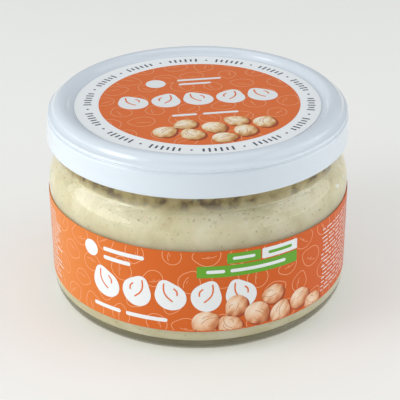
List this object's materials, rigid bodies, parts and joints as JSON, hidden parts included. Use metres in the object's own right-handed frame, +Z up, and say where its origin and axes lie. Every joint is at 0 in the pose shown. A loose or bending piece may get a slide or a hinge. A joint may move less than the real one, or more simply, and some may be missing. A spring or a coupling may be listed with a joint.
{
  "type": "jar of hummus",
  "caption": "Shut low round glass jar of hummus with a pressed white twist-off lid, a round paper label on the lid and a paper band round the jar.",
  "frame": {"origin": "centre of the jar's foot, on the surface that it stands on", "axes": "+Z up along the jar's axis, -Y towards the front of the labels"},
  "size_m": [0.086, 0.0858, 0.0586],
  "materials": {
    "jar_glass": "clear moulded soda-lime glass",
    "hummus": null,
    "lid_paint": "glossy white lacquer on pressed tinplate",
    "label_paper": "coated paper printed orange, semi-gloss"
  },
  "bodies": {
    "root": {"jar": "jar_glass", "hummus": "hummus", "lid": "lid_paint", "lid_label": "label_paper", "band_label": "label_paper"}
  },
  "joints": []
}
